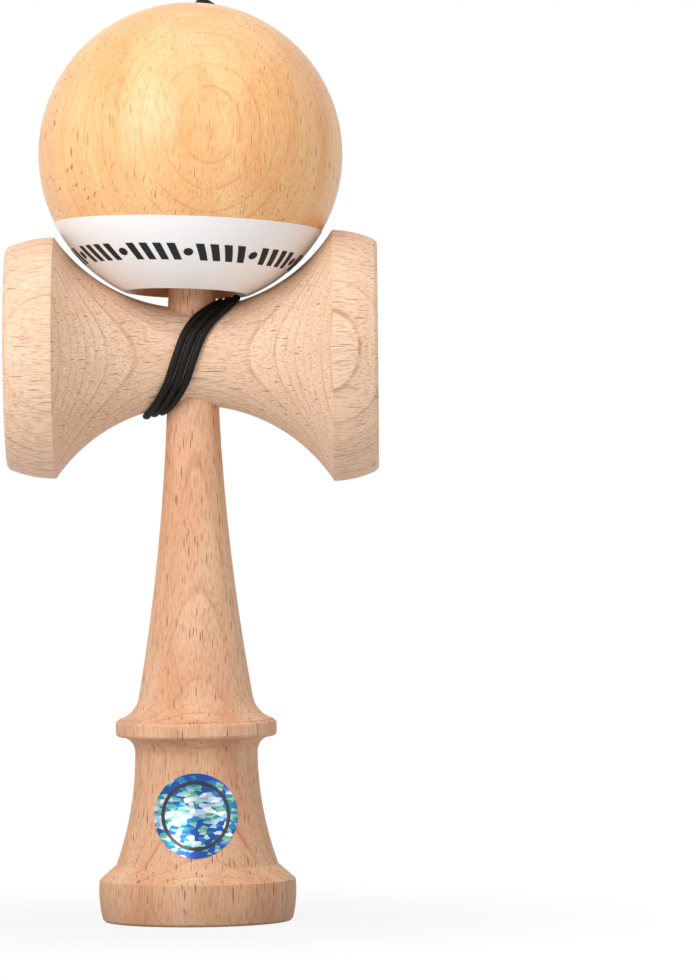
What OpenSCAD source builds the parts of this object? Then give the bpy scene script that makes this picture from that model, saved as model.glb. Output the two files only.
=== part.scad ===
// Kendama: a turned wooden handle, a cross piece with two cups pushed onto it, a drilled ball
// that sits on the handle's spike, and the string that ties the ball to the handle.
// Millimetres. +Z is up, the origin is on the handle's axis in the plane of the base rim,
// the cross piece runs along X and the front of the toy looks towards -Y.

/* [Handle] */
// Length of the handle from the base rim to the tip of the spike
ken_len = 161; // [152:0.5:164]
// Outer radius of the base rim
base_rim_r = 18.7; // [18:0.1:19.2]
// Radius of the base band where it is widest
base_belly_r = 19.5; // [19.3:0.1:21]
// Height at which the base band is widest
base_belly_z = 6; // [4.5:0.1:7.5]
// Height of the base band
base_band_h = 8.2; // [7.6:0.1:9]
// Height of the sloping shoulder above the base band
shoulder_h = 3; // [2.5:0.1:4]
// Radius at the foot of the base flare, just above the shoulder
base_neck_r = 16; // [15:0.1:17]
// Narrowest radius of the base, below the flange
base_waist_r = 12.1; // [11:0.1:13]
// Height of that narrowest place
base_waist_z = 33.4; // [32:0.1:36]
// Width of the flat lip round the base cup
base_lip = 1.5; // [1:0.1:2.5]

/* [Flange and shaft] */
// Radius of the flange
flange_r = 15.9; // [15.5:0.1:16.5]
// Thickness of the flange
flange_t = 3.2; // [2.5:0.1:5]
// Radius that rounds the flange's edges
flange_edge_r = 0.7; // [0.3:0.1:1.2]
// Radius of the cove above the flange
flange_top_cove_r = 5.5; // [5:0.1:7]
// Radius of the shaft just above that cove
shaft_foot_r = 11.1; // [10.6:0.1:11.8]
// Radius of the long sweep of the shaft
shaft_sweep_r = 430; // [380:5:700]
// Radius of the shaft at the foot of the taper that the cross piece sits on
shaft_top_r = 5.2; // [5:0.05:5.4]
// Radius of the taper at its upper end, where the spike starts
spike_root_r = 4.75; // [4.4:0.05:4.85]
// Radius of the rounded tip of the spike
spike_tip_r = 2.2; // [1.5:0.1:3]

/* [Cross piece] */
// Height of the cross piece's axis
sarado_z = 111.4; // [109:0.2:114]
// Radius of the cross piece at its waist
sarado_waist_r = 9.6; // [9:0.1:10.5]
// Half the length of the cross piece
sarado_half_len = 36.6; // [35:0.1:39]
// How much larger the radius of the saddle between the cups is than the ball's
saddle_play = 3; // [2.5:0.1:4]
// Radius of the ridge of the big cup
big_ridge_r = 24.8; // [24:0.1:25.6]
// Radius of the rim of the big cup
big_rim_r = 22.6; // [21.5:0.1:23.4]
// Radius of the ridge of the small cup
small_ridge_r = 23.8; // [23:0.1:24.6]
// Radius of the rim of the small cup
small_rim_r = 21.8; // [20.8:0.1:22.6]
// How far the side of a cup bulges beyond a straight line
cup_bulge = 0.5; // [0.2:0.05:1]
// Width of the flat lip round a cup
cup_lip = 1.4; // [1:0.1:2.5]
// How much larger the radius of a cup's dish is than the ball's
dish_play = 1; // [0.5:0.1:3]
// Width of the bevel that breaks the outer edge of the three rims
rim_bevel = 0.35; // [0.1:0.05:0.6]
// Gap between the cross piece's tapered bore and the shaft
seat_clearance = 0.05; // [0.02:0.01:0.15]

/* [Ball] */
// Radius of the ball
tama_r = 30; // [29.5:0.1:31]
// How far the axis of the ball leans
lean = 5; // [4:0.1:5.5]
// Direction of that lean, from straight back towards the right
lean_turn = 27; // [20:1:32]
// Gap left where the ball would touch the waist of the cross piece
tama_rest_gap = 0.15; // [0.1:0.05:0.6]
// Radius of the edge of the wide hole, on the ball's surface
ana_edge_r = 12; // [11.8:0.1:12.5]
// Radius of the wide hole at its mouth
ana_mouth_r = 10.6; // [10.5:0.1:11.2]
// Height of the bevel between that edge and the mouth
ana_bevel_h = 3; // [2.5:0.1:4]
// Radius of the wide hole at its ceiling
ana_ceiling_r = 9.4; // [8.5:0.1:10]
// Free height between the tip of the spike and the ceiling of the wide hole
spike_headroom = 2.2; // [1:0.1:4]
// Radius of the pocket above the wide hole that takes the bead
bead_pocket_r = 4.2; // [3.7:0.1:5]
// Radius of the string hole through the top of the ball
string_hole_r = 1.5; // [1:0.1:1.8]
// Radius of the countersink at the top of the string hole
countersink_r = 3.2; // [2.8:0.1:4]
// Depth of the countersink below the top of the ball
countersink_depth = 2.7; // [2:0.1:2.8]
// Height of the paint band's upper edge above the edge of the wide hole
paint_top = 13; // [9:0.5:18]
// Thickness of the paint
paint_t = 0.12; // [0.06:0.02:0.2]

/* [String and bead] */
// Diameter of the string
string_d = 1.2; // [1:0.05:1.25]
// Distance between neighbouring turns of the winding
string_pitch = 1.74; // [1.72:0.01:1.8]
// Gap between the string and the wood that it lies on
string_gap = 0.2; // [0.15:0.05:0.3]
// Gap between the string and the ball that it lies on
string_ball_gap = 0.3; // [0.2:0.05:0.5]
// Gap round the string in the holes of the handle, the cross piece and the bead
string_hole_gap = 0.4; // [0.2:0.05:0.6]
// Radius of the bend where the string turns into the ball
string_bend_r = 2.4; // [2:0.1:2.6]
// Diameter of the bead
bead_d = 6.5; // [5.5:0.1:7.5]
// Diameter of a knot
knot_d = 3.4; // [3:0.1:3.8]
// Gap round a knot and a bead where they sit
knot_gap = 0.2; // [0.1:0.05:0.4]

/* [Sticker] */
// Diameter of the round sticker
sticker_d = 16.5; // [12:0.5:18]
// Height of the sticker's middle
sticker_z = 21.5; // [21:0.1:22.5]
// Thickness of the sticker
sticker_t = 0.1; // [0.05:0.01:0.2]
// Hairline left under the sticker and under the paint
film_gap = 0.02; // [0.01:0.01:0.05]

/* [Hidden] */
$fn = 96;
// Segments of the arcs that are much larger than the part of them that is used
BIG_ARC_FN = 1440;

RAW_BEECH = [0.86, 0.70, 0.54];
LACQUERED_BEECH = [0.90, 0.66, 0.36];
WHITE_PAINT = [0.95, 0.95, 0.94];
BLACK_CORD = [0.07, 0.07, 0.08];
PALE_BEAD = [0.88, 0.80, 0.66];
BLUE_FOIL = [0.20, 0.38, 0.66];

// Length by which a cutter passes the face that it cuts
cut = 1;
string_r = string_d / 2;
string_bore_r = string_r + string_hole_gap;
bead_r = bead_d / 2;
knot_r = knot_d / 2;
// Height above a knot's middle of the flat from which the string runs on
knot_flat = sqrt(pow(knot_r, 2) - pow(string_r, 2));

function unit(v) = v / norm(v);
// Radius of the arc that is upright at one point and passes a second, run aside and rise away
function arc_radius(run, rise) = (run * run + rise * rise) / (2 * run);
// Centre of the arc of radius r from p to q that has its centre on the right hand
function arc_centre(p, q, r) =
    let (way = q - p, right = unit([way.y, -way.x]))
    (p + q) / 2 + right * sqrt(r * r - way * way / 4);

// Heights along the handle
neck_z = base_band_h + shoulder_h;
// The cove under the flange runs out where the rounding of the flange's edge starts
flange_under_cove_r = flange_r - flange_edge_r - base_waist_r;
flange_z = base_waist_z + flange_under_cove_r;
flange_top_z = flange_z + flange_t;
foot_z = flange_top_z + flange_top_cove_r;
// The taper runs on a little beyond the cross piece at both ends
TAPER_BELOW = 1.8;
TAPER_ABOVE = 1;
seat_foot_z = sarado_z - sarado_waist_r - TAPER_BELOW;
seat_top_z = sarado_z + sarado_waist_r + TAPER_ABOVE;
seat_mid_r = (shaft_top_r + spike_root_r) / 2;

// Arcs of the handle's outline
belly_arc_r = arc_radius(base_belly_r - base_rim_r, base_belly_z);
belly_c = [base_belly_r - belly_arc_r, base_belly_z];
band_top_r = belly_c.x + sqrt(pow(belly_arc_r, 2) - pow(base_band_h - base_belly_z, 2));
// The line of the shoulder runs on at both ends, so that it crosses the arcs below and above it
SHOULDER_OVERRUN = 0.3;
shoulder = [base_neck_r - band_top_r, shoulder_h];
shoulder_foot = [band_top_r, base_band_h] - SHOULDER_OVERRUN * shoulder;
shoulder_tip = [base_neck_r, neck_z] + SHOULDER_OVERRUN * shoulder;
base_flare_r = arc_radius(base_neck_r - base_waist_r, base_waist_z - neck_z);
base_flare_c = [base_waist_r + base_flare_r, base_waist_z];
sweep_c = arc_centre([shaft_foot_r, foot_z], [shaft_top_r, seat_foot_z], shaft_sweep_r);
// The cove above the flange touches the flange's top and runs smoothly into the sweep
cove_reach = shaft_sweep_r - flange_top_cove_r;
top_cove_c = [sweep_c.x - sqrt(pow(cove_reach, 2) - pow(foot_z - sweep_c.y, 2)), foot_z];
sweep_foot_z = sweep_c.y + (foot_z - sweep_c.y) * shaft_sweep_r / cove_reach;

// The dishes of the three cups are parts of a sphere a little larger than the ball
dish_r = tama_r + dish_play;
function dish_offset(mouth_r) = sqrt(pow(dish_r, 2) - pow(mouth_r, 2));

// The saddle between the cups is one arc round a point beyond the waist
saddle_r = tama_r + saddle_play;
saddle_c = sarado_waist_r + saddle_r;
function saddle_at(x) = saddle_c - sqrt(pow(saddle_r, 2) - x * x);
function ridge_x(ridge_r) = sqrt(pow(saddle_r, 2) - pow(saddle_c - ridge_r, 2));

// The pocket above the wide hole holds the knot and, on it, the bead
bead_over_knot = sqrt(pow(knot_r, 2) - pow(string_bore_r, 2)) + knot_gap
    + sqrt(pow(bead_r, 2) - pow(string_bore_r, 2));
pocket_h = knot_r + bead_over_knot + bead_r + knot_gap;
countersink_z = tama_r - countersink_depth;
// At its deepest the wide hole leaves as much wood over the pocket as the countersink is deep
ana_limit_z = countersink_z - countersink_depth - pocket_h;

// The ball, its axis leaning away, sits on the waist of the cross piece, or on the tip of the spike
// where its hole would be too shallow for that
coat_r = tama_r + film_gap + paint_t;
tama_c = [0, 0, max(sarado_z + sarado_waist_r + coat_r, ken_len - ana_limit_z) + tama_rest_gap];

// Heights along the ball's own axis, from its middle
ana_edge_z = -sqrt(pow(tama_r, 2) - pow(ana_edge_r, 2));
ana_mouth_z = ana_edge_z + ana_bevel_h;
ana_ceiling_z = min(ken_len + spike_headroom - tama_c.z, ana_limit_z);
bead_knot_z = ana_ceiling_z + knot_r;
bead_z = bead_knot_z + bead_over_knot;
pocket_top_z = ana_ceiling_z + pocket_h;
string_end_z = countersink_z - 2 * string_gap;

// Places along the string hole through the handle, towards the back
ken_knot_y = knot_gap + knot_r - seat_mid_r;
ken_pocket_y = ken_knot_y + knot_r + knot_gap;

// The winding passes right of the spike, down over the front, left of the shaft and up the back.
// The first turn as [degrees from the top over the front, place along X]
LAY = [[0, 5.2], [15, 4.6], [25, 3.2], [35, 0.9], [60, -1.6], [90, -3.7], [120, -5.7], [150, -7.7],
       [180, -9.5], [210, -7.8], [240, -4], [270, 0], [300, 1.5], [330, 3], [345, 4.5]];
// How far the last turn climbs over its neighbour, as [degrees, angle round the neighbour]
CLIMB = [[0, 65], [15, 105], [30, 90], [60, 30], [90, 0], [120, 35], [150, 85], [180, 105],
         [210, 85], [240, 35], [270, 0], [315, 0], [330, 0], [345, 15]];
// How high the string stands off the wood where it comes out at the back, as [degrees, height]
RISE = [[-82, 1.3], [-70, 1.2], [-58, 0.8], [-45, 0.3]];
WIND_START = -90;
WIND_TURNS = 3;
WIND_STEP = 15;
// Sides of the tubes for the wound string and for the run behind the ball
WIND_SIDES = 6;
RUN_SIDES = 8;
wind_end = WIND_START + 360 * WIND_TURNS;
wind_r = sarado_waist_r + string_gap + string_r;

// Value at an angle on a smooth closed curve through a table of [degrees, value]
function knot_of(table, i) =
    let (n = len(table), lap = floor(i / n)) table[i - n * lap] + [360 * lap, 0];
function slope_of(table, i) =
    let (way = knot_of(table, i + 1) - knot_of(table, i - 1)) way.y / way.x;
function smooth(table, angle) =
    let (a = angle - 360 * floor(angle / 360),
         i = max([for (k = [0 : len(table) - 1]) if (table[k].x <= a) k]),
         p = knot_of(table, i), q = knot_of(table, i + 1), h = q.x - p.x, t = (a - p.x) / h)
    (2 * pow(t, 3) - 3 * t * t + 1) * p.y + (pow(t, 3) - 2 * t * t + t) * h * slope_of(table, i)
    + (3 * t * t - 2 * pow(t, 3)) * q.y + (pow(t, 3) - t * t) * h * slope_of(table, i + 1);

// Middle of the wound string at an angle counted on from turn to turn, and its rise off the wood
function wound(angle, rise = 0) =
    let (turn = (angle - WIND_START) / 360,
         climb = turn > WIND_TURNS - 1 ? max(0, smooth(CLIMB, angle)) : 0,
         aside = string_pitch * (turn - 1 + cos(climb)),
         slope = (smooth(LAY, angle + 1) - smooth(LAY, angle - 1)) * 90 / PI / wind_r,
         x = smooth(LAY, angle) + aside / norm([1, slope]),
         a = angle - aside * slope / norm([1, slope]) * 180 / PI / wind_r,
         r = saddle_at(x) + string_gap + string_r + string_pitch * sin(climb) + rise)
    [x, -r * sin(a), sarado_z + r * cos(a)];

wind_last = wound(wind_end);
wind_way = unit(wind_last - wound(wind_end - 1));
wind_route = concat(
    [[0, sarado_waist_r, sarado_z], [0, sarado_waist_r + string_d, sarado_z]],
    [for (s = RISE) wound(s.x, s.y)],
    [for (a = [WIND_START + 4 * WIND_STEP : WIND_STEP : wind_end]) wound(a)],
    [wind_last + wind_way * string_d]);

// The run leaves the winding, stands free behind the ball, lies on the ball's back and bends into
// the string hole. All of it is in the plane in which the ball leans.
// Free points as [distance from the handle's axis, height]
RUN_FREE = [[13, 115.5], [14.5, 118.5], [16.5, 121.5], [18.5, 124.5], [20.5, 127.5], [24, 131.5]];
// Degrees above the ball's middle where the string starts and stops lying on the ball, and the step
RUN_ON_BALL = [-32, 73, 7];
run_ball_r = coat_r + string_ball_gap + string_r;
run_bend_z = run_ball_r - string_bend_r - string_gap;
function in_lean_plane(p) = [p.x * sin(lean_turn), p.x * cos(lean_turn), p.y];
function on_tama_axis(p) =
    tama_c + in_lean_plane([p.x * cos(lean) + p.y * sin(lean), p.y * cos(lean) - p.x * sin(lean)]);
run_route = concat(
    [wind_last + wind_way * string_d, wind_last + wind_way * 2 * string_d],
    [for (p = RUN_FREE) in_lean_plane(p)],
    [for (e = [RUN_ON_BALL[0] : RUN_ON_BALL[2] : RUN_ON_BALL[1]])
        tama_c + in_lean_plane(run_ball_r * [cos(e), sin(e)])],
    [for (t = [90 : 30 : 180]) on_tama_axis([string_bend_r, run_bend_z] + string_bend_r * [cos(t), sin(t)])],
    [on_tama_axis([0, string_end_z])]);

// Least gap of the winding to itself, measured between points a third of a ring apart
GAP_PARTS = 3;
GAP_SKIP = 12;
gap_points = [for (i = [0 : len(wind_route) - 2], k = [0 : GAP_PARTS - 1])
    wind_route[i] + (wind_route[i + 1] - wind_route[i]) * k / GAP_PARTS];
least_gap = min([for (i = [0 : len(gap_points) - 1], j = [i + GAP_SKIP : len(gap_points) - 1])
    if (j < len(gap_points)) norm(gap_points[i] - gap_points[j])]) - string_d;
function route_length(route) = [for (i = [1 : len(route) - 1]) norm(route[i] - route[i - 1])]
    * [for (i = [1 : len(route) - 1]) 1];
echo(least_gap_of_winding = least_gap, winding_length = route_length(wind_route),
     run_length = route_length(run_route));

// A tube of a given radius and number of sides along a route of points
module tube(route, r, sides) {
    last = len(route) - 1;
    ways = [for (i = [0 : last]) unit(route[min(i + 1, last)] - route[max(i - 1, 0)])];
    across = [for (i = 0, n = unit(cross(ways[0], [1, 0, 0])); i <= last;
                   i = i + 1, n = i <= last ? unit(n - (n * ways[i]) * ways[i]) : n) n];
    corners = [for (i = [0 : last], k = [0 : sides - 1])
        let (turn = 360 * k / sides)
        route[i] + r * (cos(turn) * across[i] + sin(turn) * cross(ways[i], across[i]))];
    walls = [for (i = [0 : last - 1], k = [0 : sides - 1])
        let (a = i * sides + k, b = i * sides + (k + 1) % sides)
        each [[a, a + sides, b], [b, a + sides, b + sides]]];
    ends = [for (k = [1 : sides - 2])
        each [[0, k, k + 1], [last * sides, last * sides + k + 1, last * sides + k]]];
    polyhedron(corners, concat(walls, ends));
}

// A disc of radius r and height t with rounded edges, as half an outline
module rounded_disc_outline(r, t, edge_r) {
    square([r - edge_r, t]);
    translate([0, edge_r]) square([r, t - 2 * edge_r]);
    for (y = [edge_r, t - edge_r]) translate([r - edge_r, y]) circle(edge_r);
}

// The corner that a bevel takes off the outer edge of a rim at height 0
module rim_bevel_outline(r) {
    polygon([[r - rim_bevel, 0], [r - rim_bevel, -cut], [r + cut, -cut], [r + cut, rim_bevel + cut]]);
}

module ken_outline() {
    // Base band with its barrel side, under the sloping shoulder
    intersection() {
        translate(belly_c) circle(belly_arc_r, $fn = BIG_ARC_FN);
        polygon([[0, 0], [shoulder_foot.x, 0], shoulder_foot, shoulder_tip, [0, shoulder_tip.y]]);
    }
    // Base flare
    difference() {
        translate([0, base_band_h]) square([base_neck_r + cut, base_waist_z - base_band_h]);
        translate(base_flare_c) circle(base_flare_r, $fn = BIG_ARC_FN);
    }
    // Cove under the flange
    difference() {
        translate([0, base_waist_z]) square([base_waist_r + flange_under_cove_r, flange_under_cove_r]);
        translate([base_waist_r + flange_under_cove_r, base_waist_z]) circle(flange_under_cove_r);
    }
    translate([0, flange_z]) rounded_disc_outline(flange_r, flange_t, flange_edge_r);
    // Cove above the flange
    difference() {
        translate([0, flange_top_z]) square([flange_r - flange_edge_r, sweep_foot_z - flange_top_z]);
        translate(top_cove_c) circle(flange_top_cove_r);
    }
    // Long sweep of the shaft
    difference() {
        translate([0, sweep_foot_z]) square([flange_r, seat_foot_z - sweep_foot_z]);
        translate(sweep_c) circle(shaft_sweep_r, $fn = BIG_ARC_FN);
    }
    // Taper for the cross piece, and the spike with its round tip
    polygon([[0, seat_foot_z], [shaft_top_r, seat_foot_z], [spike_root_r, seat_top_z],
             [spike_tip_r, ken_len - spike_tip_r], [0, ken_len - spike_tip_r]]);
    intersection() {
        translate([0, ken_len - spike_tip_r]) circle(spike_tip_r);
        translate([0, ken_len - spike_tip_r]) square(spike_tip_r);
    }
}

module ken() {
    color(RAW_BEECH) difference() {
        rotate_extrude() difference() {
            ken_outline();
            translate([0, -dish_offset(base_rim_r - base_lip)]) circle(dish_r, $fn = BIG_ARC_FN);
            rim_bevel_outline(base_rim_r);
        }
        // String hole, and the pocket at the front that hides the knot
        translate([0, ken_pocket_y - cut, sarado_z]) rotate([-90, 0, 0])
            cylinder(h = seat_mid_r - ken_pocket_y + 2 * cut, r = string_bore_r);
        translate([0, -seat_mid_r - cut, sarado_z]) rotate([-90, 0, 0])
            cylinder(h = seat_mid_r + ken_pocket_y + cut, r = knot_r + knot_gap);
    }
}

// Half an outline of one cup, from the middle of the cross piece out to its rim
module cup_outline(ridge_r, rim_r) {
    ridge = [ridge_r, ridge_x(ridge_r)];
    rim = [rim_r, sarado_half_len];
    bulge_r = arc_radius(cup_bulge, norm(rim - ridge) / 2);
    difference() {
        union() {
            difference() {
                square([ridge_r + cut, ridge.y]);
                translate([saddle_c, 0]) circle(saddle_r, $fn = BIG_ARC_FN);
            }
            intersection() {
                translate([0, ridge.y]) square([ridge_r + cup_bulge, rim.y - ridge.y]);
                translate(arc_centre(rim, ridge, bulge_r)) circle(bulge_r, $fn = BIG_ARC_FN);
            }
        }
        translate([0, rim.y + dish_offset(rim_r - cup_lip)]) circle(dish_r, $fn = BIG_ARC_FN);
        translate([0, rim.y]) mirror([0, 1]) rim_bevel_outline(rim_r);
    }
}

module sarado() {
    color(RAW_BEECH) difference() {
        translate([0, 0, sarado_z]) rotate([0, 90, 0]) rotate_extrude() {
            cup_outline(big_ridge_r, big_rim_r);
            mirror([0, 1]) cup_outline(small_ridge_r, small_rim_r);
        }
        // Tapered bore for the shaft
        translate([0, 0, seat_foot_z])
            cylinder(h = seat_top_z - seat_foot_z, r1 = shaft_top_r + seat_clearance,
                     r2 = spike_root_r + seat_clearance);
        // String hole at the back
        translate([0, 0, sarado_z]) rotate([-90, 0, 0])
            cylinder(h = sarado_waist_r + cut, r = string_bore_r);
    }
}

// Places what is made round the ball's own axis
module at_tama() {
    translate(tama_c) rotate(lean, [-cos(lean_turn), sin(lean_turn), 0]) children();
}

module tama() {
    color(LACQUERED_BEECH) at_tama() rotate_extrude() difference() {
        intersection() {
            circle(tama_r, $fn = BIG_ARC_FN);
            translate([0, -tama_r]) square([tama_r, 2 * tama_r]);
        }
        // Wide hole with its bevel, bead pocket, string hole and countersink
        polygon([[0, -tama_r - cut], [ana_edge_r, -tama_r - cut], [ana_edge_r, ana_edge_z],
                 [ana_mouth_r, ana_mouth_z], [ana_ceiling_r, ana_ceiling_z],
                 [bead_pocket_r, ana_ceiling_z], [bead_pocket_r, pocket_top_z],
                 [string_hole_r, pocket_top_z], [string_hole_r, countersink_z],
                 [countersink_r, tama_r], [countersink_r, tama_r + cut], [0, tama_r + cut]]);
    }
}

module tama_paint_band() {
    color(WHITE_PAINT) at_tama() rotate_extrude() intersection() {
        difference() {
            circle(coat_r, $fn = BIG_ARC_FN);
            circle(tama_r + film_gap, $fn = BIG_ARC_FN);
        }
        translate([0, ana_edge_z]) square([coat_r, paint_top]);
    }
}

module bead() {
    color(PALE_BEAD) at_tama() translate([0, 0, bead_z]) difference() {
        sphere(bead_r);
        cylinder(h = bead_d + 2 * cut, r = string_bore_r, center = true);
    }
}

// A drawn-up knot, with the flat from which the string runs on towards +Z
module knot() {
    intersection() {
        sphere(knot_r);
        translate([-knot_r, -knot_r, -knot_r]) cube([knot_d, knot_d, knot_r + knot_flat]);
    }
}

module bead_knot() {
    color(BLACK_CORD) at_tama() translate([0, 0, bead_knot_z]) knot();
}

module ken_knot() {
    color(BLACK_CORD) translate([0, ken_knot_y, sarado_z]) rotate([-90, 0, 0]) knot();
}

module string_in_tama() {
    start_z = bead_knot_z + knot_flat;
    color(BLACK_CORD) at_tama() translate([0, 0, start_z]) cylinder(h = string_end_z - start_z, r = string_r);
}

module string_in_ken() {
    start_y = ken_knot_y + knot_flat;
    color(BLACK_CORD) translate([0, start_y, sarado_z]) rotate([-90, 0, 0])
        cylinder(h = sarado_waist_r - start_y, r = string_r);
}

module string_winding() {
    color(BLACK_CORD) tube(wind_route, string_r, WIND_SIDES);
}

module string_run() {
    color(BLACK_CORD) tube(run_route, string_r, RUN_SIDES);
}

module base_sticker() {
    color(BLUE_FOIL) intersection() {
        rotate_extrude() intersection() {
            translate([0, neck_z]) square([base_neck_r, base_waist_z - neck_z]);
            translate(base_flare_c) difference() {
                circle(base_flare_r - film_gap, $fn = BIG_ARC_FN);
                circle(base_flare_r - film_gap - sticker_t, $fn = BIG_ARC_FN);
            }
        }
        translate([0, 0, sticker_z]) rotate([90, 0, 0]) cylinder(h = base_neck_r + cut, d = sticker_d);
    }
}

ken();
sarado();
tama();
tama_paint_band();
bead();
bead_knot();
string_in_tama();
string_run();
string_winding();
string_in_ken();
ken_knot();
base_sticker();
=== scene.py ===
# %% [markdown]
# Kendama, the wooden cup-and-ball toy.
# The solids come ready made and stay where they are. This lesson gives them their surfaces, makes the
# string as a braided cord, prints the marks on the ball's paint band and sets up camera and light.

# %% Load the solids
import math

import bmesh
import bpy
import numpy as np
from mathutils import Matrix, Vector


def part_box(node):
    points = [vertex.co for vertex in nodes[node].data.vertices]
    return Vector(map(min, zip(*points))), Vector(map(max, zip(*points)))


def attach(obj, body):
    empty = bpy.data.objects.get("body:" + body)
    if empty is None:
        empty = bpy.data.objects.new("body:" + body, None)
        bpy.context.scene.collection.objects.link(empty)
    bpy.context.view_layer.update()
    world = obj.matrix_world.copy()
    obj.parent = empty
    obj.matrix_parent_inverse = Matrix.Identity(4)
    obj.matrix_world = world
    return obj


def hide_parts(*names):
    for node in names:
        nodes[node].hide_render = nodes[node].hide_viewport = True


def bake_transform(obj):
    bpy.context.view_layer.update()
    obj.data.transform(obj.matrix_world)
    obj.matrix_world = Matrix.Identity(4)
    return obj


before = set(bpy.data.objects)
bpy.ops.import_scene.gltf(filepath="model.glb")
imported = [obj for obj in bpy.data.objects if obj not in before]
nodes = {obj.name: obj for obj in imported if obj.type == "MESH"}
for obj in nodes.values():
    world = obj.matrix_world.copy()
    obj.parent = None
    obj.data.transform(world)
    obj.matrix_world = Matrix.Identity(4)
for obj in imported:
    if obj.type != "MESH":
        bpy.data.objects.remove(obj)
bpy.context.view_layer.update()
MM = 0.001
print("nodes:", sorted(nodes))

# %% [markdown]
# Two small helpers serve every material. The first turns a colour as a painter writes it (sRGB, in hex)
# into the linear light that Blender mixes. The second adds one node with its settings and its inputs.
# An input is a plain value, the output of an earlier node, or that node itself for its first output.

# %% Helpers for colours and nodes
def linear(hex_colour):
    parts = [int(hex_colour[i:i + 2], 16) / 255 for i in (1, 3, 5)]
    return [c / 12.92 if c <= 0.04045 else ((c + 0.055) / 1.055) ** 2.4 for c in parts] + [1.0]


def add_node(tree, kind, inputs=(), **settings):
    """inputs are a list in the order of the sockets, or a dictionary by a socket's name or number."""
    made = tree.nodes.new(kind)
    for name, value in settings.items():
        setattr(made, name, value)
    given = inputs if isinstance(inputs, dict) else dict(enumerate(inputs))
    for socket, value in given.items():
        if isinstance(value, bpy.types.Node):
            value = next(output for output in value.outputs if output.enabled)
        if isinstance(value, bpy.types.NodeSocket):
            tree.links.new(value, made.inputs[socket])
        else:
            made.inputs[socket].default_value = value
    return made


def new_material(name):
    material = bpy.data.materials.new(name)
    material.use_nodes = True
    material.node_tree.nodes.clear()
    return material, material.node_tree


MATH = "ShaderNodeMath"
VECTOR_MATH = "ShaderNodeVectorMath"
MAP_RANGE = "ShaderNodeMapRange"
MAPPING = "ShaderNodeMapping"
NOISE = "ShaderNodeTexNoise"
COMBINE = "ShaderNodeCombineXYZ"
SEPARATE = "ShaderNodeSeparateXYZ"
PRINCIPLED = "ShaderNodeBsdfPrincipled"
MATERIAL_OUTPUT = "ShaderNodeOutputMaterial"
print("white is", linear("#FFFFFF"))

# %% [markdown]
# The camera stands a metre and a half away, a little above the middle of the toy, with a long lens, so
# the toy shows almost no perspective. It looks past the toy's right side, because the toy stands left
# of the middle of the picture.

# %% Camera
IMAGE_H = 978
FOCAL_PX = 7596
SENSOR_MM = 36
camera_place = Vector((30.55, -1500, 115.7)) * MM
camera_target = Vector((30.55, 0, 85.0)) * MM
CAMERA_ROLL = math.radians(-0.55)

camera = bpy.data.objects.new("camera", bpy.data.cameras.new("camera"))
camera.data.sensor_width = SENSOR_MM
camera.data.lens = FOCAL_PX / IMAGE_H * SENSOR_MM
camera_turn = (camera_target - camera_place).to_track_quat("-Z", "Y").to_matrix().to_4x4()
camera.matrix_world = Matrix.Translation(camera_place) @ camera_turn @ Matrix.Rotation(CAMERA_ROLL, 4, "Z")
bpy.context.scene.collection.objects.link(camera)
bpy.context.scene.camera = camera
print("lens", round(camera.data.lens, 1), "mm")

# %% [markdown]
# The string is one braided nylon cord. It starts in a knot inside the handle, comes out at the back of
# the cross piece, winds three times round its waist, climbs behind the ball and ends in a knot under
# the bead. First come the sizes, in millimetres, of the string and of the wood that it meets.

# %% Sizes round the string
SARADO_Z = 111.4
SARADO_WAIST_R = 9.6
SADDLE_R = 33.0
COAT_R = 30.14
TAMA_Z = 151.29
LEAN = math.radians(5)
LEAN_TURN = math.radians(27)
STRING_GAP = 0.08
STRING_R = 0.67
KEN_KNOT_Y = -3.075
KNOT_HALF = 1.6
print("least radius of the winding", round(SARADO_WAIST_R + STRING_GAP + STRING_R, 2), "mm")

# %% [markdown]
# The solids keep the string thin and let its last turn climb, so that no turn touches another. The real
# cord is fuller and its turns lie side by side, so here every turn is the first one moved along the
# waist. That takes it up to 2.3 mm away from the solid string.

# %% The lay of the winding
# The lay of the string before its first turn, as (degrees from the top over the front, place along X)
LAY = [(0, 5.25), (13, 4.6), (27, 2.45), (42, 0.1), (62, -2.0), (90, -4.0), (120, -6.05), (150, -8.6),
       (172, -10.15), (190, -10.3), (212, -8.8), (240, -4.9), (270, -0.4), (300, 1.75), (330, 3.65),
       (346, 4.85)]
# How far each turn moves it along X, as (degrees, distance): more where the string runs aslant
SPREAD = [(0, 1.58), (14, 1.78), (28, 2.1), (44, 2.08), (64, 1.9), (90, 1.82), (120, 1.84), (150, 1.76),
          (178, 1.56), (205, 1.88), (235, 2.32), (262, 2.42), (295, 1.95), (330, 1.68)]
# Degrees from which turns are counted, where the lay starts, where it ends, and between points
WIND_START, WIND_FLAT, WIND_END, WIND_STEP = -90, -25, 990, 5


def smooth_table(table, angle):
    """Value at an angle on a smooth closed curve through a table of (degrees, value)."""
    def point(i):
        lap, place = divmod(i, len(table))
        return table[place][0] + 360 * lap, table[place][1]

    def slope(i):
        (x0, y0), (x1, y1) = point(i - 1), point(i + 1)
        return (y1 - y0) / (x1 - x0)

    a = angle % 360
    i = max(k for k in range(len(table)) if table[k][0] <= a)
    (x0, y0), (x1, y1) = point(i), point(i + 1)
    h = x1 - x0
    t = (a - x0) / h
    return ((2 * t**3 - 3 * t**2 + 1) * y0 + (t**3 - 2 * t**2 + t) * h * slope(i)
            + (3 * t**2 - 2 * t**3) * y1 + (t**3 - t**2) * h * slope(i + 1))


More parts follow.
